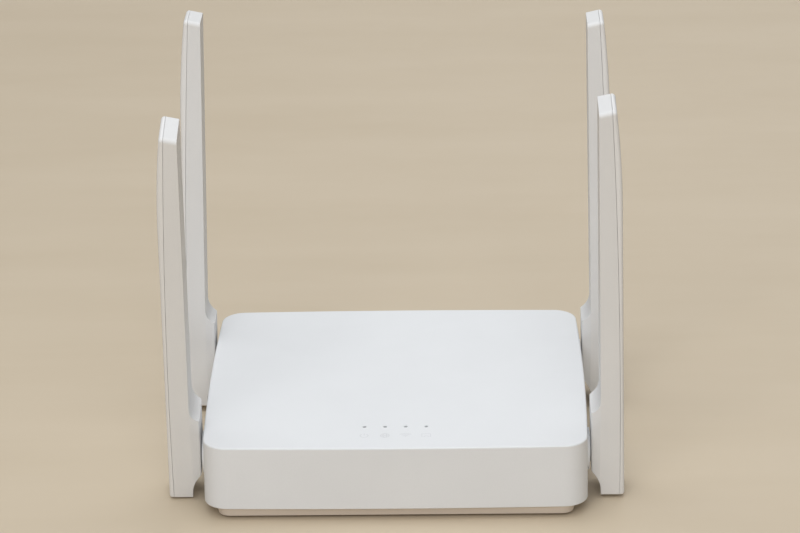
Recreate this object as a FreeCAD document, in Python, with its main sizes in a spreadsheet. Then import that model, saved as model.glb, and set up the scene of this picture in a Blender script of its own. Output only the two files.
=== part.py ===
"""Four-antenna wireless access box: white shell on an inset base, four hinged paddle antennas.

Millimetres. +X to the right and -Y to the front, as the indicator lights face; +Z up.
The origin is on the surface the feet stand on, under the centre of the base.
"""
import FreeCAD, Part
import math
import os
import re
import Sketcher

DOC = FreeCAD.newDocument("access_box")
SHEET = DOC.addObject("Spreadsheet::Sheet", "Dims")
PARTS = []
V = FreeCAD.Vector
BEVEL = round(1 - math.sqrt(0.5), 9)  # how far a quarter arc's middle stands in from its corner

DIMENSIONS = """
half_w 61 half width of the top face at its middle
half_d 55 half depth of the top face at its middle
bulge_side 1.115 how far each side bows out
bulge_end 0.884 how far the front and the rear bow out
corner_r 7.8 plan corner radius
top_z 24.9 height of the top face
skirt_z 3.95 lower edge of the walls
draft 0.6 wall draft in degrees
wall 2 wall and roof thickness
edge_r 0.5 rounding of the top edge
lower_edge_r 0.3 rounding of the lower edge
hinge_y 35 distance of each antenna hinge from the middle
hinge_z 14.9 height of the hinge axis
collar_r 6.7 radius of the hinge boss and collar
collar_in 56.4 inner face of the hinge collar
boss_out 61.2 outer face of the hinge boss
pivot_r 4 pivot tube radius
pivot_gap 0.05 running clearance of the pivot
pivot_bore_r 1.6 cable bore of the pivot
pivot_end 53.6 inner end of the pivot tube
groove_in 54.9 inner side of the clip groove
groove_out 55.9 outer side of the clip groove
groove_r 3.4 radius at the bottom of the groove
clip_r 5.6 outer radius of the retaining clip
clip_slot 5 mouth of the retaining clip
washer_r 6 outer radius of the spring washer
washer_in 55.97 inner face of the washer
washer_out 56.37 outer face of the washer
post_x 47.5 screw post position across
post_y 43.5 screw post position along
post_r 3 screw post radius
pilot_r 1.3 screw pilot hole radius
pilot_top 16.6 top of the pilot holes
base_z 1.1 underside of the base
floor_z 2.9 inner floor of the base
flange_z 6 top of the base flange
flange_gap 0.2 gap between the flange and the walls
plinth_w 56.6 half width of the plinth at its top
plinth_d 53.9 half depth of the plinth at its top
plinth_r 4.5 plinth corner radius
plinth_draft 14 slope of the plinth sides in degrees
tray_w 53.5 half width of the hollow in the base
tray_d 50 half depth of the hollow in the base
boss_r 4.4 screw boss radius in the base
head_r 2.9 counterbore radius
head_z 3.3 top of the counterbore
screw_hole_r 1.6 clearance hole radius
foot_x 42 foot position across
foot_y 31 foot position along
foot_r 5 foot radius
foot_pit_z 1.5 top of the foot recess
vent_w 2.2 vent slot width
vent_len 16 vent slot length
vent_pitch 4.6 vent slot spacing
vent_y 13 middle of the vent rows
key_x 30 wall hanging keyhole position across
key_r 3.6 keyhole head radius
key_slot 1.9 half width of the keyhole neck
key_len 7 keyhole neck length
label_w 44 label width
label_d 9.6 label depth
label_y -39 middle of the label
board_z 6.2 underside of the circuit board
board_top 7.8 top of the circuit board
board_w 43.5 half width of the circuit board
board_front -42 front edge of the circuit board
board_rear 51.5 rear edge of the circuit board
board_hole_x 38 board screw position across
board_hole_front -28 board screw position, front
board_hole_rear 26 board screw position, rear
standoff_r 2.8 board standoff radius
standoff_pilot_r 1.05 pilot hole radius of the standoffs
standoff_pilot_deep 3.8 pilot hole depth of the standoffs
board_corner_r 2 board corner radius
board_screw_r 1.3 screw hole radius in the board
jack_w 15.4 network jack width
jack_len 18 network jack depth
jack_tall 13.4 network jack height
jack_back 54.7 rear face of the jacks
socket_w 11.9 socket opening width
socket_low 4.2 bottom of the socket opening above the board
socket_high 11.9 top of the socket opening above the board
socket_deep 13.5 socket depth
latch_w 6.4 latch channel width
latch_low 1.6 bottom of the latch channel above the board
port_gap 0.2 gap round each port in the rear wall
power_x 37.5 power inlet position across
power_w 9 power inlet width
power_tall 11 power inlet height
power_len 14 power inlet depth
power_bore_r 3.15 power inlet bore radius
power_bore_z 6.5 power inlet bore height above the board
power_pin_r 1.02 power inlet pin radius
power_root_r 1.4 radius of the pin's root in the housing
power_deep 9.6 power inlet bore depth
button_x 27.6 button position across
button_z 14.3 button height
button_r 2.1 button radius
button_out 55.9 outer end of the button
led_y -39.1 row of the indicator lights
led_first -9.74 first indicator light across
led_pitch 6.49 indicator light spacing
led_hole_r 0.65 indicator light hole radius
guide_r 1.5 light guide radius
blade_w 14 antenna width from front to rear
blade_low -13.25 lower end of an antenna below its hinge
blade_in_low 64.8 inner face at the lower end
blade_in_mid 64.35 inner face just above the shoulder
blade_mid_z 21.6 top of the shoulder
blade_in_top 62.5 inner face at the tip
tip_in_z 120.4 inner edge of the tip
tip_out_z 121.6 outer edge of the tip
blade_out_low 72.3 outer face at the lower end
blade_out_knee 70.2 outer face where it starts to curve
blade_knee_z 85 height where the outer face starts to curve
blade_out_arc 69.54 outer face half way up the curve
blade_arc_z 102.5 height half way up the curve
blade_out_top 67.8 outer face at the tip
part_low 70.75 joint between antenna shell and cover at the lower end
part_mid 69.55 joint half way up
part_mid_z 54 height half way up the joint
part_top 66.45 joint at the tip
part_top_z 121.29 height of the joint at the tip
seam 0.1 groove between antenna shell and cover
cover_edge_r 1.1 rounding of the cover's outer edges
cover_low_r 0.7 rounding of the cover's lower end
end_r 0.6 rounding of the antenna's lower corners
tip_r 1.4 rounding of the antenna's tip corners
knuckle_w 14 knuckle width
knuckle_r 0.8 rounding of the knuckle's front and rear edges
knuckle_turn 1.3 how far the knuckle's front and rear faces draw in
knuckle_low -4.7 lower end of the knuckle face
cove_z -11 lower end of the hollow curve under the knuckle
cove_mid 63.85 face half way down the hollow curve
cove_mid_z -7.5 height half way down the hollow curve
knuckle_high 16.4 upper end of the knuckle face
shoulder_mid 63.45 face half way up the shoulder
shoulder_mid_z 18.2 height half way up the shoulder
knuckle_in_low 61.75 knuckle face at its lower end
knuckle_in_high 61.35 knuckle face at its upper end
pocket_w 11 width of the hollow in the antenna
pocket_low -9.5 lower end of the hollow
pocket_high 114 upper end of the hollow
pocket_in_low 66 inner side of the hollow at its lower end
pocket_in_high 64.1 inner side of the hollow at its upper end
strip_x 66.3 radiator strip inner face
strip_t 0.8 radiator strip thickness
strip_w 9 radiator strip width
strip_low 12 radiator strip lower end
strip_high 104 radiator strip upper end
peg_low_z 24 height of the lower strip peg
peg_high_z 94 height of the upper strip peg
peg_r 1.4 strip peg radius
stake_r 0.7 radius of the stake through the strip
coax_r 0.565 coaxial lead radius
coax_bend 3.5 bend radius of the lead in the antenna
coax_run_x 67.67 lead centre line on the radiator strip
lean_front_right 6.2 forward lean of the front right antenna
lean_front_left 12.2 forward lean of the front left antenna
lean_rear_right 0 forward lean of the rear right antenna
lean_rear_left -2.4 forward lean of the rear left antenna
"""


def fill_sheet():
    for row, line in enumerate(DIMENSIONS.strip().splitlines(), 1):
        name, number, note = line.split(" ", 2)
        SHEET.set(f"A{row}", note)
        SHEET.set(f"B{row}", number)
        SHEET.setAlias(f"B{row}", name)
    DOC.recompute()


def value(terms):
    """The number that a sum such as 'half_w - 2*wall' comes to."""
    total, sign = 0.0, 1.0
    for word in str(terms).replace("-", " - ").replace("+", " + ").split():
        if word in "+-":
            sign = -sign if word == "-" else sign
            continue
        factor = sign
        for piece in word.split("*"):
            factor *= float(SHEET.get(piece)) if piece[0].isalpha() else float(piece)
        total, sign = total + factor, 1.0
    return total


def times(factor, terms):
    """A sum with every term multiplied by a number."""
    result, sign = "0", 1
    for word in str(terms).replace("-", " - ").replace("+", " + ").split():
        if word in "+-":
            sign = -sign if word == "-" else sign
        else:
            result, sign = f"{result} + {factor * sign}*{word}", 1
    return result


def formula(terms):
    """The same sum as an expression on the sheet's cells."""
    return re.sub(r"[a-z]\w*", lambda found: "Dims." + found.group(), str(terms))


def bind(item, field, terms):
    item.setExpression(field, formula(terms))


def keep(item, label):
    """Name a finished sub-part and put it on the list to export."""
    item.Label = label
    PARTS.append(item)
    return item


# --- sketches and Part Design features -------------------------------------------------------

def new_body(name):
    return DOC.addObject("PartDesign::Body", name + "_body")


def new_sketch(body, name, plane, offset=None):
    """An empty sketch on one of the body's own planes, moved along the plane's normal."""
    sketch = body.newObject("Sketcher::SketchObject", name)
    origin = [item for item in body.Origin.OriginFeatures if item.Role == plane][0]
    sketch.AttachmentSupport = [(origin, "")]
    sketch.MapMode = "FlatFace"
    if offset is not None:
        bind(sketch, "AttachmentOffset.Base.z", offset)
    return sketch


def pin_point(sketch, edge, end, point):
    """Fix a vertex at (x, y) measured from the sketch origin, through the sheet."""
    for kind, terms in zip(("DistanceX", "DistanceY"), point):
        if abs(value(terms)) < 1e-9:
            on_axis = -2 if kind == "DistanceX" else -1
            sketch.addConstraint(Sketcher.Constraint("PointOnObject", edge, end, on_axis))
            continue
        number = value(terms)
        index = sketch.addConstraint(Sketcher.Constraint(kind, -1, 1, edge, end, number))
        sketch.setExpression(f"Constraints[{index}]", formula(terms))


def outline(sketch, points):
    """Closed loop through points (x, y); a third item is the middle point of an arc to the next."""
    spots = [V(value(point[0]), value(point[1]), 0) for point in points]
    edges = []
    for index, point in enumerate(points):
        start, stop = spots[index], spots[(index + 1) % len(points)]
        if len(point) > 2:
            middle = V(value(point[2][0]), value(point[2][1]), 0)
            edge = sketch.addGeometry(Part.Arc(start, middle, stop), False)
            begins = sketch.getPoint(edge, 1).distanceToPoint(start) < 1e-6
            edges.append((edge, 1, 2) if begins else (edge, 2, 1))
        else:
            edges.append((sketch.addGeometry(Part.LineSegment(start, stop), False), 1, 2))
    for (edge, _, end), (after, start, _) in zip(edges, edges[1:] + edges[:1]):
        sketch.addConstraint(Sketcher.Constraint("Coincident", edge, end, after, start))
    for (edge, start, _), point in zip(edges, points):
        pin_point(sketch, edge, start, point)
        if len(point) > 2:
            pass_through(sketch, edge, point[2])


def pass_through(sketch, edge, point):
    """Make an arc pass through a construction point that the sheet places."""
    spot = sketch.addGeometry(Part.Point(V(value(point[0]), value(point[1]), 0)), True)
    sketch.addConstraint(Sketcher.Constraint("PointOnObject", spot, 1, edge))
    pin_point(sketch, spot, 1, point)


def rectangle(sketch, middle, width, depth):
    """A rectangle about a middle point; width and depth are sums on the sheet."""
    west, east = (f"{middle[0]} + {times(half, width)}" for half in (-0.5, 0.5))
    south, north = (f"{middle[1]} + {times(half, depth)}" for half in (-0.5, 0.5))
    outline(sketch, [(west, south), (east, south), (east, north), (west, north)])


def rounded_rectangle(sketch, half_x, half_y, radius):
    """A rectangle about the origin with round corners."""
    points = []
    for a, b in ((1, -1), (1, 1), (-1, 1), (-1, -1)):
        side = (f"{a}*{half_x}", f"{b}*{half_y} - {b}*{radius}")
        end = (f"{a}*{half_x} - {a}*{radius}", f"{b}*{half_y}")
        middle = (f"{a}*{half_x} - {a * BEVEL}*{radius}", f"{b}*{half_y} - {b * BEVEL}*{radius}")
        first, second = (end, side) if a * b < 0 else (side, end)
        points += [(*first, middle), second]
    outline(sketch, points)


def circle(sketch, middle, radius):
    spot = V(value(middle[0]), value(middle[1]), 0)
    edge = sketch.addGeometry(Part.Circle(spot, V(0, 0, 1), value(radius)), False)
    pin_point(sketch, edge, 3, middle)
    index = sketch.addConstraint(Sketcher.Constraint("Radius", edge, value(radius)))
    sketch.setExpression(f"Constraints[{index}]", formula(radius))


def extrude(body, kind, sketch, length, reverse=False, both=False, taper=None):
    """A Pad or a Pocket; it must change the body's volume."""
    before = body.Shape.Volume if body.Tip else 0.0
    feature = body.newObject("PartDesign::" + kind, sketch.Name + "_" + kind.lower())
    feature.Profile = sketch
    bind(feature, "Length", length)
    feature.Reversed = reverse
    if both:
        feature.SideType = "Symmetric"
    if taper is not None:
        bind(feature, "TaperAngle", taper)
    DOC.recompute()
    change = body.Shape.Volume - before
    if (kind == "Pad") != (change > 0) or abs(change) < 1e-3:
        raise ValueError(f"{feature.Name} changes the volume by {change:.3f}")
    return feature


def round_edges(body, name, wanted, radius, kind="Fillet"):
    """Fillet or chamfer the edges for which wanted(edge) is true."""
    shape = body.Tip.Shape
    edges = [f"Edge{i}" for i, edge in enumerate(shape.Edges, 1) if wanted(edge)]
    if not edges:
        raise ValueError(f"no edges for {name}")
    feature = body.newObject("PartDesign::" + kind, name)
    feature.Base = (body.Tip if body.Tip is not feature else feature.BaseFeature, edges)
    bind(feature, "Radius" if kind == "Fillet" else "Size", radius)
    DOC.recompute()
    return feature


def box_of(edge):
    return edge.BoundBox


def near(a, b, gap=0.02):
    return abs(a - b) < gap


# --- Part primitives --------------------------------------------------------------------------

def place(item, corner, turn=None):
    if turn is not None:
        item.Placement = FreeCAD.Placement(V(0, 0, 0), turn)
    for axis, terms in zip("xyz", corner):
        bind(item, f"Placement.Base.{axis}", terms)
    return item


def block(name, corner, size, turn=None):
    item = DOC.addObject("Part::Box", name)
    for field, terms in zip(("Length", "Width", "Height"), size):
        bind(item, field, terms)
    return place(item, corner, turn)


def rod(name, foot, radius, length, turn=None):
    item = DOC.addObject("Part::Cylinder", name)
    bind(item, "Radius", radius)
    bind(item, "Height", length)
    return place(item, foot, turn)


def cut(name, base, *tools):
    for index, tool in enumerate(tools):
        item = DOC.addObject("Part::Cut", f"{name}_cut{index}")
        item.Base = base
        item.Tool = tool
        base = item
    return base


def fuse(name, *items):
    item = DOC.addObject("Part::MultiFuse", name + "_fuse")
    item.Shapes = list(items)
    return item


def group(label, items):
    """Separate solids that share one node."""
    item = DOC.addObject("Part::Compound", label + "_group")
    item.Links = items
    return keep(item, label)


ALONG_Y = FreeCAD.Rotation(V(1, 0, 0), -90)
ALONG_X = FreeCAD.Rotation(V(0, 1, 0), 90)


def corners(x, y):
    return [(f"{a}*{x}", f"{b}*{y}") for a in (1, -1) for b in (1, -1)]


# --- the box ----------------------------------------------------------------------------------

JACKS = (("wan_jack", 15.1), ("lan_jack_a", -2.1), ("lan_jack_b", -18.3), ("lan_jack_c", -34.5))


def top_cover():
    body = new_body("top_cover")
    plan = new_sketch(body, "cover_plan", "XY_Plane", "top_z")
    bowed_plan(plan)
    extrude(body, "Pad", plan, "top_z - skirt_z", reverse=True, taper="draft")
    round_edges(body, "cover_corners", upright_edge, "corner_r")
    hollow(body)
    round_edges(body, "cover_top_edge", top_loop, "edge_r")
    round_edges(body, "cover_low_edge", lower_loop, "lower_edge_r")
    cover_posts(body)
    for side in (1, -1):
        hinge_collars(body, side)
    rear_openings(body)
    led_holes(body)
    keep(body, "top_cover")


def bowed_plan(sketch, inset="0"):
    """Four slightly bowed sides, drawn in from the top face's outline by an inset."""
    reach_x, reach_y = (f"{half} + {times(-1, inset)}" for half in ("half_w", "half_d"))
    x, y = f"{reach_x} - bulge_side", f"{reach_y} - bulge_end"
    outline(sketch, [
        (times(-1, x), times(-1, y), ("0", times(-1, reach_y))),
        (x, times(-1, y), (reach_x, "0")),
        (x, y, ("0", reach_y)),
        (times(-1, x), y, (times(-1, reach_x), "0")),
    ])


def upright_edge(edge):
    box = box_of(edge)
    return box.ZLength > 1.0 and box.XLength < 1.0 and box.YLength < 1.0


def top_loop(edge):
    box = box_of(edge)
    return box.ZLength < 0.01 and near(box.ZMax, value("top_z"))


def lower_loop(edge):
    """The outer edges of the wall's lower rim."""
    box = box_of(edge)
    if box.ZLength > 0.01 or not near(box.ZMax, value("skirt_z")):
        return False
    middle = edge.valueAt((edge.FirstParameter + edge.LastParameter) / 2)
    reach_x = abs(middle.x) / value("half_w")
    reach_y = abs(middle.y) / value("half_d")
    corner = abs(middle.x) + abs(middle.y) > value("half_w + half_d - corner_r + 1.5")
    return max(reach_x, reach_y) > 0.985 or corner


def hollow(body):
    """Leave walls and a roof of one thickness, open below."""
    shape = body.Tip.Shape
    lowest = min(range(len(shape.Faces)), key=lambda i: shape.Faces[i].CenterOfMass.z)
    shell = body.newObject("PartDesign::Thickness", "cover_hollow")
    shell.Base = (body.Tip if body.Tip is not shell else shell.BaseFeature, [f"Face{lowest + 1}"])
    shell.Reversed = True
    bind(shell, "Value", "wall")
    DOC.recompute()


def cover_posts(body):
    posts = new_sketch(body, "posts", "XY_Plane", "flange_z")
    for spot in corners("post_x", "post_y"):
        circle(posts, spot, "post_r")
    extrude(body, "Pad", posts, "top_z - wall - flange_z + 0.2")
    pilots = new_sketch(body, "pilots", "XY_Plane", "pilot_top")
    for spot in corners("post_x", "post_y"):
        circle(pilots, spot, "pilot_r")
    extrude(body, "Pocket", pilots, "pilot_top - flange_z + 1")


def hinge_collars(body, side):
    """A round boss outside and a collar inside each side wall, bored for the pivots."""
    tag = "right" if side > 0 else "left"
    spots = (("hinge_y", "hinge_z"), ("-1*hinge_y", "hinge_z"))
    collar = new_sketch(body, "collar_" + tag, "YZ_Plane", f"{side}*collar_in")
    for spot in spots:
        circle(collar, spot, "collar_r")
    extrude(body, "Pad", collar, "boss_out - collar_in", reverse=side < 0)
    bore = new_sketch(body, "bore_" + tag, "YZ_Plane", f"{side}*boss_out + {side}*1")
    for spot in spots:
        circle(bore, spot, "pivot_r + pivot_gap")
    extrude(body, "Pocket", bore, "boss_out - collar_in + 2", reverse=side < 0)


def rear_openings(body):
    """Openings in the rear wall for the ports, the button and the power inlet."""
    ports = new_sketch(body, "ports", "XZ_Plane", "-1*board_rear + 2")
    for _, x in JACKS:
        rectangle(ports, (str(x), "board_top + 0.5*jack_tall"),
                  "jack_w + port_gap", "jack_tall + port_gap")
    rectangle(ports, ("power_x", "board_top + 0.5*power_tall"),
              "power_w + port_gap", "power_tall + port_gap")
    circle(ports, ("button_x", "button_z"), "button_r + 0.1")
    extrude(body, "Pocket", ports, "10")


def led_holes(body):
    holes = new_sketch(body, "led_holes", "XY_Plane", "top_z + 1")
    for index in range(4):
        circle(holes, (f"led_first + {index}*led_pitch", "led_y"), "led_hole_r")
    extrude(body, "Pocket", holes, "wall + 2")


def base_plate():
    """Inset plinth with a hollow tray, a flange inside the walls, bosses and standoffs."""
    body = new_body("base_plate")
    flange = new_sketch(body, "flange", "XY_Plane", "skirt_z")
    bowed_plan(flange, "wall + flange_gap")
    extrude(body, "Pad", flange, "flange_z - skirt_z")
    round_edges(body, "flange_corners", upright_edge, "corner_r - wall")
    plinth = new_sketch(body, "plinth", "XY_Plane", "skirt_z")
    rounded_rectangle(plinth, "plinth_w", "plinth_d", "plinth_r")
    extrude(body, "Pad", plinth, "skirt_z - base_z", reverse=True, taper="-1*plinth_draft")
    tray = new_sketch(body, "tray", "XY_Plane", "flange_z")
    rectangle(tray, ("0", "0"), "2*tray_w", "2*tray_d")
    extrude(body, "Pocket", tray, "flange_z - floor_z")
    base_bosses(body)
    base_holes(body)
    keep(body, "base_plate")


def base_bosses(body):
    bosses = new_sketch(body, "bosses", "XY_Plane", "floor_z")
    for spot in corners("post_x", "post_y"):
        circle(bosses, spot, "boss_r")
    extrude(body, "Pad", bosses, "flange_z - floor_z")
    standoffs = new_sketch(body, "standoffs", "XY_Plane", "floor_z")
    for spot in board_screw_spots():
        circle(standoffs, spot, "standoff_r")
    extrude(body, "Pad", standoffs, "board_z - floor_z")
    pilots = new_sketch(body, "standoff_pilots", "XY_Plane", "board_z")
    for spot in board_screw_spots():
        circle(pilots, spot, "standoff_pilot_r")
    extrude(body, "Pocket", pilots, "standoff_pilot_deep")


def board_screw_spots():
    return [(x, y) for x in ("board_hole_x", "-1*board_hole_x")
            for y in ("board_hole_front", "board_hole_rear")]


def base_holes(body):
    """Screw holes, foot and label recesses, air vents and two hanging keyholes."""
    holes = new_sketch(body, "screw_holes", "XY_Plane", "flange_z")
    for spot in corners("post_x", "post_y"):
        circle(holes, spot, "screw_hole_r")
    extrude(body, "Pocket", holes, "flange_z")
    heads = new_sketch(body, "screw_heads", "XY_Plane", "head_z")
    for spot in corners("post_x", "post_y"):
        circle(heads, spot, "head_r")
    extrude(body, "Pocket", heads, "head_z")
    pits = new_sketch(body, "foot_pits", "XY_Plane", "foot_pit_z")
    for spot in corners("foot_x", "foot_y"):
        circle(pits, spot, "foot_r + 0.1")
    extrude(body, "Pocket", pits, "foot_pit_z")
    vents = new_sketch(body, "vents", "XY_Plane", "floor_z")
    for row in (-1, 1):
        for slot in range(9):
            rectangle(vents, (f"{slot - 4}*vent_pitch", f"{row}*vent_y + {row}*9"),
                      "vent_w", "vent_len")
    extrude(body, "Pocket", vents, "floor_z")
    keys = new_sketch(body, "keyholes", "XY_Plane", "floor_z")
    for side in (1, -1):
        circle(keys, (f"{side}*key_x", "-1*key_len"), "key_r")
    extrude(body, "Pocket", keys, "floor_z")
    necks = new_sketch(body, "keyhole_necks", "XY_Plane", "floor_z")
    for side in (1, -1):
        rectangle(necks, (f"{side}*key_x", "-0.5*key_len"), "2*key_slot", "key_len")
    extrude(body, "Pocket", necks, "floor_z")
    ends = new_sketch(body, "keyhole_ends", "XY_Plane", "floor_z")
    for side in (1, -1):
        circle(ends, (f"{side}*key_x", "0"), "key_slot")
    extrude(body, "Pocket", ends, "floor_z")
    label = new_sketch(body, "label_pit", "XY_Plane", "base_z + 0.15")
    rectangle(label, ("0", "label_y"), "label_w + 0.4", "label_d + 0.4")
    extrude(body, "Pocket", label, "base_z")


def base_fittings():
    """Rubber feet, a blank label and the case screws."""
    feet = [rod(f"foot{n}", (x, y, "0"), "foot_r", "foot_pit_z")
            for n, (x, y) in enumerate(corners("foot_x", "foot_y"))]
    DOC.recompute()
    rounded = [soften(foot, "Foot", 0.3) for foot in feet]
    group("rubber_feet", rounded)
    keep(block("label", ("-0.5*label_w", "label_y - 0.5*label_d", "base_z + 0.03"),
               ("label_w", "label_d", "0.12")), "blank_label")
    group("case_screws", [screw(f"case_screw{n}", x, y, "head_z - 1.7", 1.25, 2.6, 1.6, 13, up=True)
                          for n, (x, y) in enumerate(corners("post_x", "post_y"))])


def soften(item, name, radius):
    """Round both rims of a cylinder."""
    fillet = DOC.addObject("Part::Fillet", item.Name + name)
    fillet.Base = item
    rims = [i for i, edge in enumerate(item.Shape.Edges, 1) if box_of(edge).ZLength < 0.01]
    fillet.Edges = [(i, radius, radius) for i in rims]
    return fillet


def screw(name, x, y, seat, shank_r, head_r, head_t, length, up):
    """A pan-head screw with a cross recess; the shank goes up or down from the head."""
    shank_foot = f"{seat} + {head_t}" if up else f"{seat} - {length}"
    head = rod(name + "_head", (x, y, seat), head_r, head_t)
    shank = rod(name + "_shank", (x, y, shank_foot), shank_r, length)
    recess_z = f"{seat} - 0.1" if up else f"{seat} + {head_t} - 0.9"
    slots = [
        block(name + "_slot_a", (f"{x} - 1.2", f"{y} - 0.25", recess_z), (2.4, 0.5, 1)),
        block(name + "_slot_b", (f"{x} - 0.25", f"{y} - 1.2", recess_z), (0.5, 2.4, 1)),
    ]
    return cut(name, fuse(name, head, shank), *slots)


# --- circuit board and what it carries ---------------------------------------------------------

def board():
    body = new_body("main_board")
    plan = new_sketch(body, "board_plan", "XY_Plane", "board_z")
    rectangle(plan, ("0", "0.5*board_front + 0.5*board_rear"), "2*board_w", "board_rear - board_front")
    extrude(body, "Pad", plan, "board_top - board_z")
    round_edges(body, "board_corners", upright_edge, "board_corner_r")
    holes = new_sketch(body, "board_holes", "XY_Plane", "board_top")
    for spot in board_screw_spots():
        circle(holes, spot, "board_screw_r")
    extrude(body, "Pocket", holes, "board_top - board_z + 1")
    keep(body, "main_board")
    group("board_screws", [screw(f"board_screw{n}", x, y, "board_top", 1.0, 2.3, 1.4, 4.6, up=False)
                           for n, (x, y) in enumerate(board_screw_spots())])


CHIPS = (
    ("router_chip", 2, 2, 14, 14, 1.0),
    ("memory_chip", 22, 4, 8, 10, 1.0),
    ("flash_chip", 27, -12, 5.2, 5.3, 1.6),
    ("power_chip", 30, 16, 4.9, 3.9, 1.5),
    ("port_transformer_a", 6, 26, 15, 9, 4.5),
    ("port_transformer_b", -22, 26, 15, 9, 4.5),
    ("power_coil", 21, 19.5, 6, 6, 3.0),
)


def chips():
    for name, x, y, across, along, tall in CHIPS:
        low = (f"{x} - {across / 2}", f"{y} - {along / 2}", "board_top")
        keep(block(name + "_block", low, (across, along, tall)), name)
    keep(shield_can(), "radio_shield")
    keep(block("pad", ("-3.5", "-3.5", "board_top + 1"), (11, 11, 0.6)), "thermal_pad")
    fins = [block("sink_plate", ("-5", "-5", "board_top + 1.6"), (14, 14, 1.4))]
    fins += [block(f"sink_fin{n}", (f"-5 + {n}*2.5", "-5", "board_top + 3"), (1.5, 14, 4.2))
             for n in range(6)]
    keep(fuse("sink", *fins), "heat_sink")
    keep(crystal(), "clock_crystal")
    group("filter_capacitors", [capacitor(f"can{n}", x, y)
                                for n, (x, y) in enumerate(((31.5, 32), (24, 32), (37, 9)))])
    small_parts()


def shield_can():
    outer = block("shield_outer", ("-34", "-20", "board_top"), (22, 26, 2.6))
    inner = block("shield_inner", ("-33.7", "-19.7", "board_top - 0.1"), (21.4, 25.4, 2.4))
    return cut("shield", outer, inner)


def crystal():
    middle = block("crystal_middle", ("11.5", "-14.3", "board_top"), (6.4, 4.6, 3.4))
    ends = [rod(f"crystal_end{n}", (str(x), "-12", "board_top"), 2.3, 3.4)
            for n, x in enumerate((11.5, 17.9))]
    return fuse("crystal", middle, *ends)


def capacitor(name, x, y):
    """A can with its rolled groove, on a short seat."""
    can = rod(name, (str(x), str(y), "board_top"), 3.1, 9)
    ring = DOC.addObject("Part::Torus", name + "_groove")
    ring.Radius1 = 3.35
    ring.Radius2 = 0.5
    place(ring, (str(x), str(y), "board_top + 1.6"))
    return cut(name, can, ring)


def small_parts():
    """Rows of tiny resistors and capacitors beside the chips."""
    resistors = [block(f"res{n}", (f"-10 + {n % 6}*2.2", f"-14 - {n // 6}*3", "board_top"),
                       (1.0, 1.8, 0.5)) for n in range(18)]
    group("chip_resistors", resistors)
    caps = [block(f"cap{n}", (f"-10.5 + {n % 7}*2.6", f"13 + {n // 7}*3", "board_top"),
                  (1.4, 1.9, 0.9)) for n in range(14)]
    group("chip_capacitors", caps)


def lights():
    """Four indicator lights and the moulding that carries their light to the roof."""
    group("indicator_lights", [block(f"led{n}", (f"led_first + {n}*led_pitch - 0.8",
                                                 "led_y - 0.6", "board_top"), (1.6, 1.2, 0.7))
                               for n in range(4)])
    bar = block("guide_bar", ("led_first - 2", "led_y - 1.5", "top_z - wall - 2.2"),
                ("3*led_pitch + 4", 3, 2))
    pillars = [rod(f"guide{n}", (f"led_first + {n}*led_pitch", "led_y", "board_top + 1"),
                   "guide_r", "top_z - wall - board_top - 2") for n in range(4)]
    tips = [rod(f"guide_tip{n}", (f"led_first + {n}*led_pitch", "led_y", "top_z - wall - 0.3"),
                "led_hole_r - 0.05", "wall + 0.1") for n in range(4)]
    keep(fuse("light_guides", bar, *pillars, *tips), "light_guides")


# --- ports -------------------------------------------------------------------------------------

def jack(name, x):
    """A network jack: housing with its socket and latch channel."""
    housing = block(name + "_housing", (f"{x} - 0.5*jack_w", "jack_back - jack_len", "board_top"),
                    ("jack_w", "jack_len", "jack_tall"))
    socket = block(name + "_socket", (f"{x} - 0.5*socket_w", "jack_back - socket_deep",
                                      "board_top + socket_low"),
                   ("socket_w", "socket_deep + 1", "socket_high - socket_low"))
    latch = block(name + "_latch", (f"{x} - 0.5*latch_w", "jack_back - socket_deep",
                                    "board_top + latch_low"),
                  ("latch_w", "socket_deep + 1", "socket_low - latch_low + 0.1"))
    keep(cut(name, housing, socket, latch), name)
    return [contact(f"{name}_wire{n}", x, n) for n in range(8)]


def contact(name, x, index):
    """One sprung contact wire, sloping down into the socket from its roof."""
    slope = FreeCAD.Rotation(V(1, 0, 0), 22)
    return block(name, (f"{x} - 3.57 + {index}*1.02 - 0.225", "jack_back - socket_deep + 0.3",
                        "board_top + socket_high - 3.6"), (0.45, 8.2, 0.35), slope)


def ports():
    wires = []
    for name, x in JACKS:
        wires += jack(name, x)
    group("jack_contacts", wires)
    power_inlet()


def power_inlet():
    body = block("inlet_body", ("power_x - 0.5*power_w", "jack_back - power_len", "board_top"),
                 ("power_w", "power_len", "power_tall"))
    bore = rod("inlet_bore", ("power_x", "jack_back - power_deep", "board_top + power_bore_z"),
               "power_bore_r", "power_deep + 1", ALONG_Y)
    leaf_room = block("inlet_leaf_room", ("power_x - 1.2", "jack_back - power_deep + 1",
                                          "board_top + power_bore_z - 4.4"), (2.4, 6, 2))
    root_foot = ("power_x", "jack_back - power_len", "board_top + power_bore_z")
    pin_foot = ("power_x", "jack_back - power_deep", "board_top + power_bore_z")
    root_room = rod("inlet_root_room", root_foot, "power_root_r", "power_len - power_deep", ALONG_Y)
    keep(cut("inlet", body, bore, leaf_room, root_room), "power_inlet")
    root = rod("inlet_pin_root", root_foot, "power_root_r", "power_len - power_deep", ALONG_Y)
    pin = rod("inlet_pin", pin_foot, "power_pin_r", "power_deep - 1", ALONG_Y)
    keep(fuse("inlet_pin", root, pin), "power_pin")
    keep(block("inlet_leaf", ("power_x - 1", "jack_back - power_deep + 1.2",
                              "board_top + power_bore_z - 4.0"), (2, 5.6, 0.5)), "power_spring")


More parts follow.
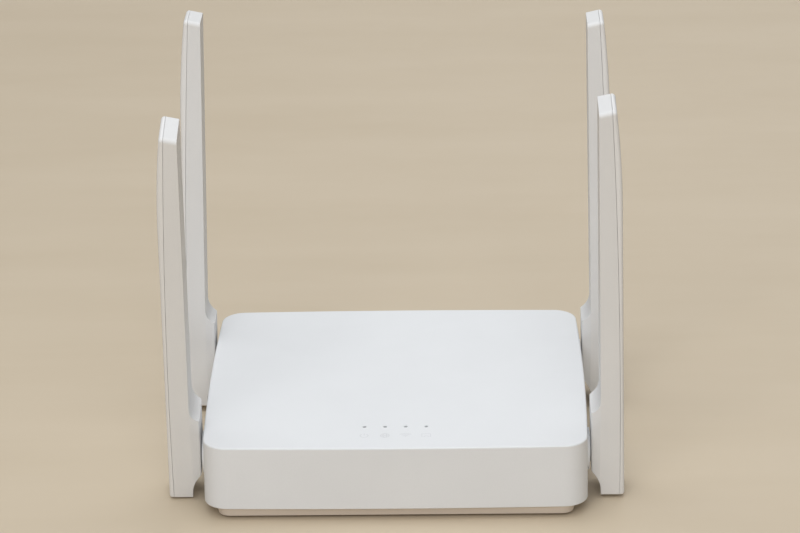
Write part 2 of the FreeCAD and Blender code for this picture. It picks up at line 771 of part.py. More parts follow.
def button():
    """A sprung button in the rear wall with its switch behind."""
    cap = rod("cap_front", ("button_x", "jack_back - 3.7", "button_z"), "button_r",
              "button_out - jack_back + 3.7", ALONG_Y)
    collar = rod("cap_collar", ("button_x", "jack_back - 3.1", "button_z"), "button_r + 0.9", 1,
                 ALONG_Y)
    plunger = rod("cap_stem", ("button_x", "jack_back - 7.5", "button_z"), 1.2, 4, ALONG_Y)
    keep(fuse("button", cap, collar, plunger), "reset_button")
    case = block("switch_case", ("button_x - 3", "jack_back - 12.5", "board_top"), (6, 6, 9))
    well = rod("switch_well", ("button_x", "jack_back - 8.4", "button_z"), 1.3, 3, ALONG_Y)
    keep(cut("switch", case, well), "button_switch")


# --- antennas ----------------------------------------------------------------------------------

ANTENNAS = (
    ("front_right", 1, -1), ("front_left", -1, -1), ("rear_right", 1, 1), ("rear_left", -1, 1),
)


def antenna_place(name, side, end):
    """Where an antenna's own frame sits: x outward, z up, origin on the hinge axis."""
    lean = FreeCAD.Rotation(V(1, 0, 0), value("lean_" + name))
    half_turn = FreeCAD.Rotation(V(0, 0, 1), 0 if side > 0 else 180)
    return FreeCAD.Placement(V(0, end * value("hinge_y"), value("hinge_z")), lean * half_turn)


def slab(body, name, points, width):
    sketch = new_sketch(body, name, "XZ_Plane")
    outline(sketch, points)
    return extrude(body, "Pad", sketch, width, both=True)


def antenna_shell(name):
    """Inner half of the paddle, with the knuckle and the hollow pivot tube."""
    body = new_body("shell_" + name)
    slab(body, "paddle_" + name, [
        ("blade_in_low", "blade_low"),
        ("part_low", "blade_low", ("part_mid", "part_mid_z")),
        ("part_top", "part_top_z"),
        ("blade_in_top", "tip_in_z"),
        ("blade_in_mid", "blade_mid_z"),
    ], "blade_w")
    round_edges(body, "foot_round_" + name, end_edge(-1), "end_r")
    round_edges(body, "tip_round_" + name, end_edge(1), "tip_r")
    slab(body, "knuckle_" + name, [
        ("blade_in_low + 1.6", "cove_z"),
        ("blade_in_low + 1.6", "blade_mid_z"),
        ("blade_in_mid", "blade_mid_z", ("shoulder_mid", "shoulder_mid_z")),
        ("knuckle_in_high", "knuckle_high"),
        ("knuckle_in_low", "knuckle_low", ("cove_mid", "cove_mid_z")),
        ("blade_in_low", "cove_z"),
    ], "knuckle_w")
    knuckle_facets(body, name)
    round_edges(body, "knuckle_round_" + name, knuckle_edge, "knuckle_r")
    pivot_tube(body, name)
    shell_hollow(body, name)
    return body


def end_edge(end):
    """Edges across the paddle's thickness at its lower or upper corners."""
    def wanted(edge):
        box = box_of(edge)
        side = near(abs(box.YMin), value("0.5*blade_w")) and box.YLength < 0.01
        low = box.ZMax < value("blade_low + 0.1")
        high = box.ZMin > value("tip_in_z - 0.2")
        return side and box.XLength > 1 and (low if end < 0 else high)
    return wanted


def knuckle_facets(body, name):
    """Draw the knuckle's front and rear faces in towards the box."""
    facets = new_sketch(body, "facets_" + name, "XY_Plane", "blade_mid_z")
    for end in (1, -1):
        face = f"{end}*0.5*knuckle_w"
        outline(facets, [
            ("blade_in_mid", face),
            ("knuckle_in_high - 1", f"{face} - {end}*knuckle_turn"),
            ("knuckle_in_high - 1", f"{face} + {end}*1"),
            ("blade_in_mid", f"{face} + {end}*1"),
        ])
    extrude(body, "Pocket", facets, "blade_mid_z - cove_z + 1")


def knuckle_edge(edge):
    box = box_of(edge)
    on_face = box.XMax < value("knuckle_in_low + 0.05") and box.ZLength > 10
    return on_face and min(abs(box.YMin), abs(box.YMax)) > value("0.5*knuckle_w - knuckle_turn")


def pivot_tube(body, name):
    tube = new_sketch(body, "tube_" + name, "YZ_Plane", "pivot_end")
    circle(tube, ("0", "0"), "pivot_r")
    extrude(body, "Pad", tube, "knuckle_in_low + 0.4 - pivot_end")
    bore = new_sketch(body, "cable_bore_" + name, "YZ_Plane", "blade_in_low + 2")
    circle(bore, ("0", "0"), "pivot_bore_r")
    extrude(body, "Pocket", bore, "blade_in_low + 3 - pivot_end")
    groove = new_sketch(body, "groove_" + name, "YZ_Plane", "groove_out")
    circle(groove, ("0", "0"), "pivot_r + 1")
    circle(groove, ("0", "0"), "groove_r")
    extrude(body, "Pocket", groove, "groove_out - groove_in")


def shell_hollow(body, name):
    hollow_sketch = new_sketch(body, "hollow_" + name, "XZ_Plane")
    outline(hollow_sketch, [
        ("pocket_in_low", "pocket_low"), ("blade_out_low + 2", "pocket_low"),
        ("blade_out_low + 2", "pocket_high"), ("pocket_in_high", "pocket_high"),
    ])
    extrude(body, "Pocket", hollow_sketch, "pocket_w", both=True)
    for tag, root, z in (("low_peg_", "pocket_in_low - 1", "peg_low_z"),
                         ("high_peg_", "pocket_in_high - 0.3", "peg_high_z")):
        peg = new_sketch(body, tag + name, "YZ_Plane", root)
        circle(peg, ("0", z), "peg_r")
        extrude(body, "Pad", peg, "strip_x " + times(-1, root)[1:])
    stakes = new_sketch(body, "stakes_" + name, "YZ_Plane", "strip_x")
    for z in ("peg_low_z", "peg_high_z"):
        circle(stakes, ("0", z), "stake_r")
    extrude(body, "Pad", stakes, "strip_t + 0.3")


def antenna_cover(name):
    """Outer half of the paddle: a thin curved cover, cut from the full paddle along the joint."""
    body = new_body("cover_" + name)
    slab(body, "cover_skin_" + name, [
        ("blade_in_low", "blade_low"),
        ("blade_out_low", "blade_low"),
        ("blade_out_knee", "blade_knee_z", ("blade_out_arc", "blade_arc_z")),
        ("blade_out_top", "tip_out_z"),
        ("blade_in_top", "tip_in_z"),
    ], "blade_w")
    round_edges(body, "cover_tip_" + name, end_edge(1), "tip_r")
    round_edges(body, "cover_rim_" + name, cover_rim, "cover_edge_r")
    inside = new_sketch(body, "cover_inside_" + name, "XZ_Plane")
    outline(inside, [
        ("part_low + seam", "blade_low", ("part_mid + seam", "part_mid_z")),
        ("part_top + seam", "part_top_z"),
        ("part_top + seam", "tip_out_z + 1"),
        ("blade_in_top - 1", "tip_out_z + 1"),
        ("blade_in_top - 1", "blade_low"),
    ])
    extrude(body, "Pocket", inside, "blade_w + 2", both=True)
    round_edges(body, "cover_lower_end_" + name, cover_low_edge, "cover_low_r")
    return body


def cover_rim(edge):
    """The long outer edges and the tip's outer edge, but not the bend or the lower end."""
    middle = edge.valueAt((edge.FirstParameter + edge.LastParameter) / 2)
    bend = abs(middle.y) < 1 and near(middle.z, value("blade_knee_z"))
    return middle.x > value("blade_out_top - 0.3") and middle.z > value("blade_low + 1") and not bend


def cover_low_edge(edge):
    box = box_of(edge)
    low = near(box.ZMax, value("blade_low"), 0.05)
    return low and box.XMin > value("blade_out_low - 0.3") and box.YLength > 5


def radiator(name):
    """A narrow circuit strip staked to two pegs inside the antenna."""
    body = new_body("radiator_" + name)
    face = new_sketch(body, "strip_" + name, "YZ_Plane", "strip_x")
    rectangle(face, ("0", "0.5*strip_low + 0.5*strip_high"), "strip_w", "strip_high - strip_low")
    for z in ("peg_low_z", "peg_high_z"):
        circle(face, ("0", z), "stake_r + 0.05")
    extrude(body, "Pad", face, "strip_t")
    return body


def clip(name):
    """An open ring that snaps into the groove of the pivot tube."""
    body = new_body("clip_" + name)
    ring = new_sketch(body, "ring_" + name, "YZ_Plane", "groove_in + 0.1")
    circle(ring, ("0", "0"), "clip_r")
    circle(ring, ("0", "0"), "groove_r + 0.02")
    extrude(body, "Pad", ring, "groove_out - groove_in - 0.2")
    mouth = new_sketch(body, "mouth_" + name, "YZ_Plane", "groove_out")
    rectangle(mouth, ("0", "-1*clip_r"), "clip_slot", "2*clip_r - groove_r")
    extrude(body, "Pocket", mouth, "groove_out - groove_in")
    return body


def lead(name, points):
    """A round lead along a planar route in X and Z; points are (x, z, bend radius)."""
    edges = []
    before = V(points[0][0], 0, points[0][1])
    for index in range(1, len(points) - 1):
        corner = V(points[index][0], 0, points[index][1])
        after = V(points[index + 1][0], 0, points[index + 1][1])
        back, ahead = (before - corner).normalize(), (after - corner).normalize()
        half = back.getAngle(ahead) / 2
        radius = points[index][2]
        run = radius / math.tan(half)
        start, stop = corner + back * run, corner + ahead * run
        middle = (back + ahead).normalize() * (radius / math.sin(half) - radius) + corner
        edges.append(Part.LineSegment(before, start).toShape())
        edges.append(Part.Arc(start, middle, stop).toShape())
        before = stop
    last = V(points[-1][0], 0, points[-1][1])
    edges.append(Part.LineSegment(before, last).toShape())
    wire = Part.Wire(edges)
    first = edges[0]
    ring = Part.Circle(first.valueAt(first.FirstParameter),
                       first.tangentAt(first.FirstParameter), value("coax_r"))
    tube = wire.makePipeShell([Part.Wire([ring.toShape()])], True, False)
    item = DOC.addObject("Part::Feature", name)
    item.Shape = tube
    return item


def antenna_lead(name):
    run_x, bend = value("coax_run_x"), value("coax_bend")
    points = [(run_x, value("strip_low") + 6, 0), (run_x, 0, bend), (value("pivot_end"), 0, 0)]
    return lead("antenna_lead_" + name, points)


def box_lead(name, side, end):
    """From the end of the pivot tube down to the solder pad on the board."""
    pad_z = value("board_top + coax_r + 0.02") - value("hinge_z")
    points = [(value("pivot_end") - 0.1, 0, 0), (49, 0, 4), (45.5, pad_z, 3), (41, pad_z, 0)]
    item = lead("box_lead_" + name, points)
    half_turn = FreeCAD.Rotation(V(0, 0, 1), 0 if side > 0 else 180)
    item.Placement = FreeCAD.Placement(
        V(0, end * value("hinge_y"), value("hinge_z")), half_turn)
    return item


def antennas():
    leads, pads, washers = [], [], []
    for name, side, end in ANTENNAS:
        where = antenna_place(name, side, end)
        pieces = {
            "antenna_shell_": antenna_shell(name), "antenna_cover_": antenna_cover(name),
            "radiator_strip_": radiator(name), "pivot_clip_": clip(name),
            "antenna_coax_": antenna_lead(name),
        }
        for label, piece in pieces.items():
            piece.Placement = where
            keep(piece, label + name)
        leads.append(box_lead(name, side, end))
        pads.append(solder_pad(name, side, end))
        washers.append(washer(name, side, end))
    group("box_coax_leads", leads)
    group("coax_solder_pads", pads)
    group("hinge_washers", washers)


def solder_pad(name, side, end):
    low_x = "38" if side > 0 else "-41"
    return block("pad_" + name, (low_x, f"{end}*hinge_y - 1.3", "board_top"), (3, 2.6, 1.25))


def washer(name, side, end):
    low_x = "washer_in" if side > 0 else "-1*washer_out"
    spot = (low_x, f"{end}*hinge_y", "hinge_z")
    disc = rod("washer_disc_" + name, spot, "washer_r", "washer_out - washer_in", ALONG_X)
    hole = rod("washer_hole_" + name, spot, "pivot_r + 0.15", "washer_out - washer_in", ALONG_X)
    return cut("washer_" + name, disc, hole)


def checked():
    """Stop on any failed feature or unsound sub-part."""
    for item in DOC.Objects:
        if {"Invalid", "Error"} & set(item.State):
            raise ValueError(f"{item.Name} is {item.State}")
    for item in PARTS:
        shape = item.Shape
        if shape.isNull() or not shape.isValid() or not shape.Solids:
            raise ValueError(f"{item.Label} is not sound")


def export():
    os.makedirs("parts", exist_ok=True)
    for item in PARTS:
        item.Shape.exportStep(f"parts/{item.Label}.step")


fill_sheet()
top_cover()
base_plate()
base_fittings()
board()
chips()
lights()
ports()
button()
antennas()
DOC.recompute()
checked()
export()
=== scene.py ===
"""Looks of the four-antenna access box: materials, printed icons, studio and camera."""
import math

import bmesh
import bpy
from mathutils import Matrix, Vector


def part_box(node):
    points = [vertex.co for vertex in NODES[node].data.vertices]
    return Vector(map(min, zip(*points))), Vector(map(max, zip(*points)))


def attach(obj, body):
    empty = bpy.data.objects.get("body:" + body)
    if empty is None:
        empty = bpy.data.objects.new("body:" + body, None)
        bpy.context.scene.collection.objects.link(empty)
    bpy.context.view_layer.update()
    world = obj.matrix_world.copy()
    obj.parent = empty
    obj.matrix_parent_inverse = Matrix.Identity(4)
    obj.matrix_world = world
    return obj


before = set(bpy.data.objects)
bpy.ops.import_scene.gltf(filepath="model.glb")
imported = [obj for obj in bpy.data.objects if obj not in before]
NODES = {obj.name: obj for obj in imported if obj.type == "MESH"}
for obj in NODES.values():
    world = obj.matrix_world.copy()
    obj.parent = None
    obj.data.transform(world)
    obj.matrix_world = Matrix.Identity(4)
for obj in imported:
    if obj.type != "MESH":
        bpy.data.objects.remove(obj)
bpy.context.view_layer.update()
MM = 0.001

# The cover in millimetres: its roof, and its rear wall's top edge, bow, half width and draft in degrees.
ROOF_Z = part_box("top_cover")[1][2] / MM
REAR_Y = 55.0
REAR_BOW = 0.884
HALF_WIDTH = 61.0
DRAFT = 0.6


# --- node helpers -------------------------------------------------------------------------------

class Paint:
    """A Principled material and short ways to hang procedural textures on it."""

    def __init__(self, name, rough=0.5, metal=0.0, **sockets):
        self.material = bpy.data.materials.new(name)
        self.material.use_nodes = True
        self.tree = self.material.node_tree
        self.tree.nodes.clear()
        out = self.add("ShaderNodeOutputMaterial")
        self.shader = self.add("ShaderNodeBsdfPrincipled")
        self.link(self.shader.outputs[0], out.inputs[0])
        self.shader.inputs["Roughness"].default_value = rough
        self.shader.inputs["Metallic"].default_value = metal
        for field, number in sockets.items():
            self.shader.inputs[field.replace("_", " ")].default_value = number
        self.place = self.add("ShaderNodeTexCoord").outputs["Object"]
        self.normal = None

    def add(self, kind, **fields):
        node = self.tree.nodes.new(kind)
        for field, number in fields.items():
            setattr(node, field, number)
        return node

    def link(self, start, end):
        self.tree.links.new(start, end)

    def stretched(self, scale):
        node = self.add("ShaderNodeMapping")
        node.inputs["Scale"].default_value = scale
        self.link(self.place, node.inputs["Vector"])
        return node.outputs[0]

    def noise(self, scale, detail=3.0, rough=0.55, place=None):
        node = self.add("ShaderNodeTexNoise")
        node.inputs["Scale"].default_value = scale
        node.inputs["Detail"].default_value = detail
        node.inputs["Roughness"].default_value = rough
        self.link(place or self.place, node.inputs["Vector"])
        return node.outputs[0]

    def cells(self, scale):
        node = self.add("ShaderNodeTexVoronoi", feature="F1")
        node.inputs["Scale"].default_value = scale
        self.link(self.place, node.inputs["Vector"])
        return node.outputs["Distance"]

    def ramp(self, source, *stops):
        """Colour or number stops as (position, value)."""
        node = self.add("ShaderNodeValToRGB")
        marks = node.color_ramp.elements
        while len(marks) < len(stops):
            marks.new(0.5)
        for mark, (spot, shade) in zip(marks, stops):
            mark.position = spot
            mark.color = (*shade, 1) if isinstance(shade, tuple) else (shade, shade, shade, 1)
        self.link(source, node.inputs[0])
        return node.outputs[0]

    def mix(self, factor, first, second, blend="MIX"):
        node = self.add("ShaderNodeMix", data_type="RGBA", blend_type=blend)
        for socket, item in zip((0, 6, 7), (factor, first, second)):
            if isinstance(item, bpy.types.NodeSocket):
                self.link(item, node.inputs[socket])
            elif isinstance(item, tuple):
                node.inputs[socket].default_value = (*item, 1)
            else:
                node.inputs[socket].default_value = item
        return node.outputs[2]

    def number(self, source, low, high):
        node = self.add("ShaderNodeMapRange")
        node.inputs["To Min"].default_value = low
        node.inputs["To Max"].default_value = high
        self.link(source, node.inputs[0])
        return node.outputs[0]

    def colour(self, source):
        self.link(source, self.shader.inputs["Base Color"])

    def rough(self, source, low, high):
        self.link(self.number(source, low, high), self.shader.inputs["Roughness"])

    def bump(self, source, depth, strength=1.0):
        node = self.add("ShaderNodeBump")
        node.inputs["Strength"].default_value = strength
        node.inputs["Distance"].default_value = depth
        self.link(source, node.inputs["Height"])
        if self.normal is not None:
            self.link(self.normal, node.inputs["Normal"])
        self.normal = node.outputs[0]
        self.link(self.normal, self.shader.inputs["Normal"])

    def painted_edge_highlight(self, base, highlit, amount):
        """Colour shifted where the surface turns a sharp corner: a painted edge highlight."""
        shape = self.add("ShaderNodeNewGeometry")
        edge = self.ramp(shape.outputs["Pointiness"], (0.5, 0.0), (0.56, amount))
        return self.mix(edge, base, highlit)


def moulded(name, shade, low, high, grain=1.0, variation=0.02):
    """Injection-moulded plastic with a fine spark-eroded grain."""
    paint = Paint(name, Specular_IOR_Level=0.35)
    broad = paint.noise(28, 4)
    dark = tuple(max(0.0, c * (1 - variation)) for c in shade)
    light = tuple(min(1.0, c * (1 + variation)) for c in shade)
    flow = paint.ramp(broad, (0.3, dark), (0.7, light))
    speck = paint.ramp(paint.noise(2600, 2), (0.35, 0.985), (0.6, 1.0))
    tone = paint.mix(1.0, flow, speck, "MULTIPLY")
    # Sharp corners are painted lighter: a painted highlight along the edges.
    paint.colour(paint.painted_edge_highlight(tone, light, 0.35))
    paint.rough(paint.noise(160, 5), low, high)
    paint.bump(paint.noise(5200, 2, 0.6), 0.000012 * grain, 0.55)
    paint.bump(paint.noise(420, 3), 0.00001 * grain, 0.35)
    return paint.material


def metal(name, shade, low, high, along=(1, 1, 1)):
    """Plated or drawn metal with fine scratches along one direction."""
    paint = Paint(name, metal=1.0)
    scratch = paint.noise(900, 4, 0.6, paint.stretched(along))
    dull = tuple(c * 0.72 for c in shade)
    paint.colour(paint.mix(paint.ramp(paint.noise(210, 5), (0.42, 0.0), (0.75, 0.7)), shade, dull))
    paint.rough(scratch, low, high)
    paint.bump(scratch, 0.000015, 0.5)
    return paint.material


def rubber(name, shade):
    paint = Paint(name, rough=0.8, Specular_IOR_Level=0.3)
    dusty = tuple(min(1.0, c * 1.9 + 0.03) for c in shade)
    paint.colour(paint.mix(paint.ramp(paint.noise(320, 6), (0.45, 0.0), (0.72, 0.55)), shade, dusty))
    paint.rough(paint.noise(500, 3), 0.68, 0.92)
    paint.bump(paint.noise(3000, 3), 0.00004, 0.6)
    return paint.material


def board_mask(name, shade):
    """Solder mask over printed tracks, with tinned pads."""
    paint = Paint(name, rough=0.3, Coat_Weight=0.3)
    lines = paint.add("ShaderNodeTexBrick")
    lines.inputs["Scale"].default_value = 95
    lines.inputs["Mortar Size"].default_value = 0.055
    lines.inputs["Color1"].default_value = (0, 0, 0, 1)
    lines.inputs["Color2"].default_value = (0, 0, 0, 1)
    lines.inputs["Mortar"].default_value = (1, 1, 1, 1)
    paint.link(paint.place, lines.inputs["Vector"])
    bright = tuple(min(1.0, c * 1.8) for c in shade)
    base = paint.mix(paint.ramp(paint.noise(40, 3), (0.4, 0.0), (0.7, 0.4)), shade, bright)
    tracks = paint.mix(lines.outputs[0], base, bright)
    pads = paint.ramp(paint.cells(420), (0.10, 1.0), (0.13, 0.0))
    paint.colour(paint.mix(pads, tracks, (0.62, 0.6, 0.5)))
    paint.rough(paint.noise(300, 3), 0.22, 0.42)
    paint.bump(lines.outputs[0], 0.00003, 0.6)
    return paint.material


def epoxy(name, shade):
    """Moulded component body."""
    paint = Paint(name, rough=0.55)
    light = tuple(c * 1.7 + 0.01 for c in shade)
    paint.colour(paint.mix(paint.ramp(paint.noise(1800, 4), (0.4, 0.0), (0.75, 0.6)), shade, light))
    paint.rough(paint.noise(700, 3), 0.42, 0.66)
    paint.bump(paint.noise(4200, 3), 0.00002, 0.5)
    return paint.material


def clear(name, shade):
    paint = Paint(name, rough=0.12, Transmission_Weight=0.6, IOR=1.49)
    haze = tuple(c * 0.86 for c in shade)
    paint.colour(paint.mix(paint.ramp(paint.noise(220, 4), (0.4, 0.0), (0.7, 0.8)), shade, haze))
    paint.rough(paint.noise(400, 3), 0.08, 0.26)
    paint.bump(paint.noise(900, 2), 0.00001, 0.4)
    return paint.material


def ink(name, shade):
    """Screen-printed ink, thinner in places."""
    paint = Paint(name, rough=0.5, Specular_IOR_Level=0.35)
    thin = tuple(c * 0.92 for c in shade)
    paint.colour(paint.ramp(paint.noise(2400, 4), (0.35, thin), (0.65, shade)))
    paint.rough(paint.noise(900, 3), 0.42, 0.6)
    paint.bump(paint.noise(6000, 2), 0.000006, 0.4)
    return paint.material


def paper(name, shade):
    paint = Paint(name, rough=0.75)
    fibre = paint.noise(1600, 6, 0.7, paint.stretched((1, 4, 1)))
    paint.colour(paint.ramp(fibre, (0.3, tuple(c * 0.93 for c in shade)), (0.7, shade)))
    paint.rough(fibre, 0.62, 0.85)
    paint.bump(fibre, 0.00002, 0.4)
    return paint.material


SHELL = moulded("shell_white", (0.80, 0.81, 0.82), 0.46, 0.58)
ANTENNA = moulded("antenna_white", (0.785, 0.782, 0.776), 0.48, 0.6, 0.9)
# The antenna covers are the antenna white painted lighter: painted light for the light their rounded
# rims catch.
ANTENNA_COVER_PAINTED_LIGHTER = moulded("antenna_cover_painted_lighter", (0.83, 0.824, 0.815), 0.46, 0.58, 0.9)
# The white base is painted darker and warmer: painted shade under the wall's overhang and painted
# reflection of the warm floor.
BASE_PAINTED_SHADE = moulded("base_white_painted_shade", (0.68, 0.60, 0.52), 0.5, 0.64, 1.4, 0.03)
BUTTON = moulded("button_white", (0.70, 0.71, 0.72), 0.34, 0.48)
FINISHES = {
    "top_cover": SHELL,
    "base_plate": BASE_PAINTED_SHADE,
    "reset_button": BUTTON,
    "antenna_shell_": ANTENNA,
    "antenna_cover_": ANTENNA_COVER_PAINTED_LIGHTER,
    "rubber_feet": rubber("foot_rubber", (0.16, 0.16, 0.17)),
    "blank_label": paper("label_paper", (0.78, 0.78, 0.76)),
    "case_screws": metal("zinc_steel", (0.56, 0.57, 0.6), 0.24, 0.42),
    "board_screws": metal("board_screw_steel", (0.6, 0.6, 0.62), 0.22, 0.4),
    "main_board": board_mask("green_mask", (0.018, 0.14, 0.05)),
    "radiator_strip_": board_mask("strip_mask", (0.02, 0.16, 0.07)),
    "router_chip": epoxy("router_epoxy", (0.022, 0.022, 0.024)),
    "memory_chip": epoxy("memory_epoxy", (0.026, 0.026, 0.027)),
    "flash_chip": epoxy("flash_epoxy", (0.02, 0.02, 0.022)),
    "power_chip": epoxy("power_epoxy", (0.024, 0.023, 0.023)),
    "port_transformer_": epoxy("transformer_epoxy", (0.03, 0.028, 0.026)),
    "power_coil": epoxy("ferrite", (0.06, 0.055, 0.052)),
    "chip_resistors": epoxy("resistor_body", (0.03, 0.03, 0.035)),
    "chip_capacitors": epoxy("ceramic_tan", (0.42, 0.3, 0.19)),
    "filter_capacitors": moulded("can_sleeve", (0.03, 0.03, 0.07), 0.25, 0.4),
    "radio_shield": metal("tinned_shield", (0.72, 0.72, 0.7), 0.3, 0.46, (1, 9, 1)),
    "clock_crystal": metal("crystal_can", (0.7, 0.7, 0.69), 0.18, 0.34),
    "coax_solder_pads": metal("solder", (0.66, 0.66, 0.66), 0.2, 0.5),
    "thermal_pad": rubber("silicone_pad", (0.26, 0.33, 0.42)),
    "heat_sink": metal("extruded_aluminium", (0.78, 0.79, 0.8), 0.3, 0.44, (1, 12, 1)),
    "indicator_lights": clear("lamp_epoxy", (0.8, 0.78, 0.6)),
    "light_guides": clear("guide_acrylic", (0.82, 0.84, 0.86)),
    "wan_jack": moulded("port_blue", (0.03, 0.13, 0.42), 0.3, 0.45),
    "lan_jack_": moulded("port_yellow", (0.72, 0.52, 0.06), 0.3, 0.45),
    "jack_contacts": metal("contact_gold", (0.88, 0.62, 0.25), 0.14, 0.3, (1, 12, 1)),
    "power_inlet": moulded("inlet_black", (0.02, 0.02, 0.022), 0.3, 0.5, 1.0, 0.1),
    "power_pin": metal("pin_nickel", (0.72, 0.7, 0.66), 0.14, 0.28, (1, 10, 1)),
    "power_spring": metal("leaf_nickel", (0.7, 0.68, 0.62), 0.2, 0.36, (1, 10, 1)),
    "button_switch": moulded("switch_black", (0.03, 0.03, 0.032), 0.35, 0.5, 1.0, 0.1),
    "pivot_clip_": metal("clip_steel", (0.52, 0.53, 0.55), 0.25, 0.4),
    "hinge_washers": metal("washer_steel", (0.6, 0.6, 0.6), 0.22, 0.38),
    "antenna_coax_": moulded("coax_black", (0.03, 0.03, 0.03), 0.3, 0.45, 1.0, 0.1),
    "box_coax_leads": moulded("coax_grey", (0.05, 0.05, 0.055), 0.3, 0.45, 1.0, 0.1),
}


def dress(name, item):
    found = [key for key in FINISHES if name == key or (key.endswith("_") and name.startswith(key))]
    material = FINISHES[found[0]]
    for index in range(max(1, len(item.material_slots))):
        if item.material_slots:
            item.material_slots[index].material = material
        else:
            item.data.materials.append(material)


for node_name, node in NODES.items():
    dress(node_name, node)


# --- printed marks --------------------------------------------------------------------------------

def arc(middle, radius, start, stop, steps=14, squash=1.0):
    """Points of an arc in a mark's own plane; angles in degrees from the right."""
    turns = [math.radians(start + (stop - start) * i / steps) for i in range(steps + 1)]
    return [(middle[0] + radius * squash * math.cos(a), middle[1] + radius * math.sin(a)) for a in turns]


MARKS = {
    "power": [arc((0, 0), 1.0, 125, 415), [(0, 0.15), (0, 1.25)]],
    "globe": [arc((0, 0), 1.1, 0, 360, 24), arc((0, 0), 1.1, 0, 360, 24, 0.45), [(-1.1, 0), (1.1, 0)]],
    "waves": [arc((0, -0.9), r, 45, 135) for r in (0.25, 0.85, 1.45, 2.05)],
    "wired": [[(-1.1, -0.9), (-1.1, 0.9), (1.1, 0.9), (1.1, -0.9), (0.45, -0.9), (0.45, -0.45),
               (-0.45, -0.45), (-0.45, -0.9), (-1.1, -0.9)]],
    "again": [arc((0, 0), 1.0, 80, 380), [(0.45, 0.2), (0.95, 0.3), (1.2, -0.2)]],
}


# The bead of ink in section: places across it, as parts of its half width, and their heights in mm.
BEAD = ((1.0, 0.002), (0.6, 0.014), (-0.6, 0.014), (-1.0, 0.002))


def ribbon(mesh, points, width, surface):
    """A low rounded bead of ink along the points, laid on surface(across, along, lift)."""
    closed = math.dist(points[0], points[-1]) < 1e-6
    rows = []
    for index, point in enumerate(points):
        before = points[index - 1] if index or not closed else points[-2]
        after = points[(index + 1) % len(points)] if index < len(points) - 1 or not closed else points[1]
        if index == 0 and not closed:
            before = point
        if index == len(points) - 1 and not closed:
            after = point
        ahead = Vector((after[0] - before[0], after[1] - before[1])).normalized()
        side = Vector((-ahead.y, ahead.x)) * width / 2
        row = []
        for part, lift in BEAD:
            row.append(mesh.verts.new(surface(point[0] + side.x * part, point[1] + side.y * part, lift)))
        rows.append(row)
    for row, after in zip(rows, rows[1:]):
        for a in range(len(BEAD) - 1):
            mesh.faces.new((row[a], row[a + 1], after[a + 1], after[a]))


def roof(x, y):
    """The flat top, seen from the front."""
    return lambda a, b, lift: ((x + a) * MM, (y + b) * MM, (ROOF_Z + lift) * MM)


def rear_wall(x, z):
    """The bowed, drafted rear wall, seen from behind."""
    def spot(a, b, lift):
        across, up = x - a, z + b
        bow = REAR_BOW * (across / HALF_WIDTH) ** 2
        out = REAR_Y - bow + (ROOF_Z - up) * math.tan(math.radians(DRAFT)) + lift
        return (across * MM, out * MM, up * MM)
    return spot


def mark(name, kind, surface, size, width, material):
    mesh = bmesh.new()
    for line in MARKS[kind]:
        ribbon(mesh, [(x * size, y * size) for x, y in line], width, surface)
    bmesh.ops.recalc_face_normals(mesh, faces=mesh.faces)
    data = bpy.data.meshes.new(name)
    mesh.to_mesh(data)
    item = bpy.data.objects.new(name, data)
    bpy.context.scene.collection.objects.link(item)
    data.materials.append(material)
    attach(item, "box")


LIGHT_WIDTH = 1.6  # of one indicator light
TOP_MARKS = ("power", "globe", "waves", "wired")
TOP_MARK_AHEAD = 6.5  # from the row of lights to the marks in front of it
TOP_MARK_SIZE, TOP_MARK_LINE = 1.25, 0.3

# Name, symbol, the port or button under it, the gap between them, size and line width.
REAR_MARKS = (
    ("wired_0", "wired", "lan_jack_a", 1.7, 0.85, 0.2),
    ("wired_1", "wired", "lan_jack_b", 1.7, 0.85, 0.2),
    ("wired_2", "wired", "lan_jack_c", 1.7, 0.85, 0.2),
    ("globe", "globe", "wan_jack", 1.7, 0.85, 0.18),
    ("power", "power", "power_inlet", 2.4, 0.95, 0.2),
    ("again", "again", "reset_button", 1.5, 0.85, 0.2),
)


def over_port(node, gap):
    """The place on the rear wall above the middle of a port or button."""
    low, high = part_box(node)
    return rear_wall((low[0] + high[0]) / 2 / MM, high[2] / MM + gap)


def marks():
    faint = ink("faint_ink", (0.735, 0.745, 0.755))
    grey = ink("grey_ink", (0.30, 0.31, 0.32))
    low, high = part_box("indicator_lights")
    first = low[0] / MM + LIGHT_WIDTH / 2
    pitch = ((high[0] - low[0]) / MM - LIGHT_WIDTH) / (len(TOP_MARKS) - 1)
    row = (low[1] + high[1]) / 2 / MM - TOP_MARK_AHEAD
    for index, kind in enumerate(TOP_MARKS):
        place = roof(first + pitch * index, row)
        mark("top_mark_" + kind, kind, place, TOP_MARK_SIZE, TOP_MARK_LINE, faint)
    for name, kind, node, gap, size, line in REAR_MARKS:
        mark("rear_mark_" + name, kind, over_port(node, gap), size, line, grey)


# --- studio ---------------------------------------------------------------------------------------

FLOOR_HALF = 6.0  # metres
FLOOR_DARK, FLOOR_LIGHT = (0.61, 0.51, 0.375), (0.64, 0.54, 0.405)

# Place, what it points at and size in metres, then watts and tint.
LAMPS = {
    "overhead": ((-0.08, 0.1, 1.6), (0, 0, 0.03), (1.1, 1.0), 9.4, (0.96, 0.985, 1.0)),
    "front": ((-0.2, -1.35, 1.05), (0, 0, 0.06), (1.3, 1.0), 10.4, (0.98, 0.985, 1.0)),
    "rear": ((0.35, 1.6, 0.75), (0, 0, 0.06), (1.2, 0.9), 3.6, (1.0, 0.99, 0.98)),
}

SKY_BRIGHTEST = (-0.06, -0.3, 0.95)  # direction
SKY_LOW, SKY_MIDDLE, SKY_HIGH = (0.04, 0.04, 0.04), (0.36, 0.36, 0.36), (1.0, 1.02, 1.05)
SKY_SIDES = 0.25  # strength straight to the left and right

# The camera, in millimetres and degrees.
EYE = (19.390, -945.843, 448.979)
AHEAD = (-0.017489, 0.925880, -0.377413)
ROLL = -0.94458
SENSOR, LENS = 36, 142.801


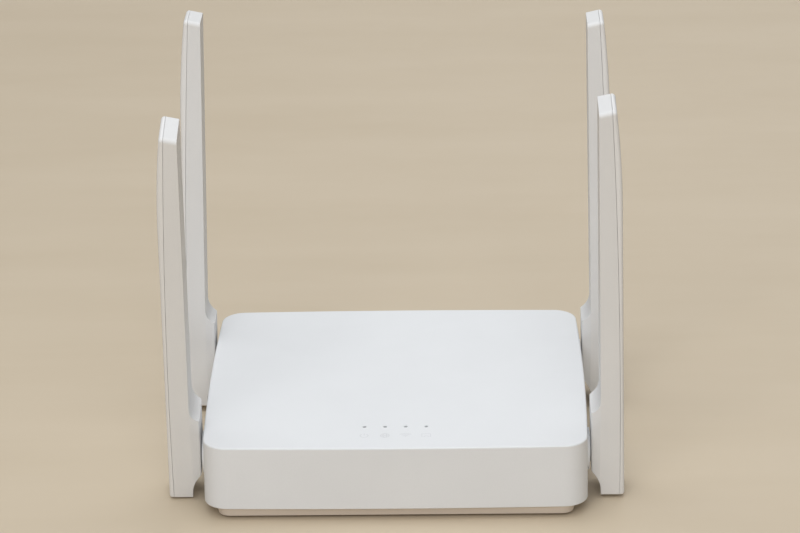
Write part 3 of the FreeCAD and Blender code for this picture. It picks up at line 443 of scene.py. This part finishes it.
def floor():
    mesh = bmesh.new()
    bmesh.ops.create_grid(mesh, x_segments=1, y_segments=1, size=FLOOR_HALF)
    data = bpy.data.meshes.new("studio_floor")
    mesh.to_mesh(data)
    item = bpy.data.objects.new("studio_floor", data)
    bpy.context.scene.collection.objects.link(item)
    paint = Paint("floor_paint", rough=0.62)
    grain = paint.noise(9, 5, 0.55, paint.stretched((0.6, 3.0, 1)))
    paint.colour(paint.ramp(grain, (0.3, FLOOR_DARK), (0.7, FLOOR_LIGHT)))
    paint.rough(paint.noise(60, 4), 0.5, 0.7)
    data.materials.append(paint.material)


def lamp(name, spot, aim, size, watts, tint):
    data = bpy.data.lights.new(name, "AREA")
    data.shape = "RECTANGLE"
    data.size, data.size_y = size
    data.energy = watts
    data.color = tint
    item = bpy.data.objects.new(name, data)
    item.location = spot
    item.rotation_euler = (Vector(aim) - Vector(spot)).to_track_quat("-Z", "Y").to_euler()
    bpy.context.scene.collection.objects.link(item)


def sky():
    """A soft dome: bright from the front to overhead, dark towards the horizon and to both sides."""
    world = bpy.data.worlds.new("studio_world")
    world.use_nodes = True
    tree = world.node_tree
    spot = tree.nodes.new("ShaderNodeTexCoord")
    height = tree.nodes.new("ShaderNodeVectorMath")
    height.operation = "DOT_PRODUCT"
    height.inputs[1].default_value = Vector(SKY_BRIGHTEST).normalized()
    ramp = tree.nodes.new("ShaderNodeValToRGB")
    ramp.color_ramp.elements[0].color = (*SKY_LOW, 1)
    ramp.color_ramp.elements[1].color = (*SKY_HIGH, 1)
    ramp.color_ramp.elements.new(0.5).color = (*SKY_MIDDLE, 1)
    parts = tree.nodes.new("ShaderNodeSeparateXYZ")
    sideways = tree.nodes.new("ShaderNodeMath")
    sideways.operation = "ABSOLUTE"
    fade = tree.nodes.new("ShaderNodeMapRange")
    fade.inputs["To Min"].default_value = 1.0
    fade.inputs["To Max"].default_value = SKY_SIDES
    tree.links.new(spot.outputs["Generated"], height.inputs[0])
    tree.links.new(spot.outputs["Generated"], parts.inputs[0])
    tree.links.new(height.outputs["Value"], ramp.inputs[0])
    tree.links.new(parts.outputs["X"], sideways.inputs[0])
    tree.links.new(sideways.outputs[0], fade.inputs[0])
    tree.links.new(ramp.outputs[0], tree.nodes["Background"].inputs[0])
    tree.links.new(fade.outputs[0], tree.nodes["Background"].inputs[1])
    bpy.context.scene.world = world


def studio():
    sky()
    bpy.context.scene.view_settings.view_transform = "Standard"
    bpy.context.scene.view_settings.look = "None"
    for name, settings in LAMPS.items():
        lamp(name, *settings)


def camera():
    """A camera at EYE that looks along AHEAD, turned about its own axis by ROLL."""
    eye = Vector(EYE) * MM
    ahead = Vector(AHEAD).normalized()
    level = ahead.cross(Vector((0, 0, 1))).normalized()
    above = level.cross(ahead)
    roll = math.radians(ROLL)
    right = math.cos(roll) * level + math.sin(roll) * above
    up = -math.sin(roll) * level + math.cos(roll) * above
    data = bpy.data.cameras.new("camera")
    data.sensor_width = SENSOR
    data.lens = LENS
    data.clip_start, data.clip_end = 0.01, 50
    item = bpy.data.objects.new("camera", data)
    item.matrix_world = Matrix((
        (right.x, up.x, -ahead.x, eye.x),
        (right.y, up.y, -ahead.y, eye.y),
        (right.z, up.z, -ahead.z, eye.z),
        (0, 0, 0, 1),
    ))
    bpy.context.scene.collection.objects.link(item)
    bpy.context.scene.camera = item


marks()
floor()
studio()
camera()
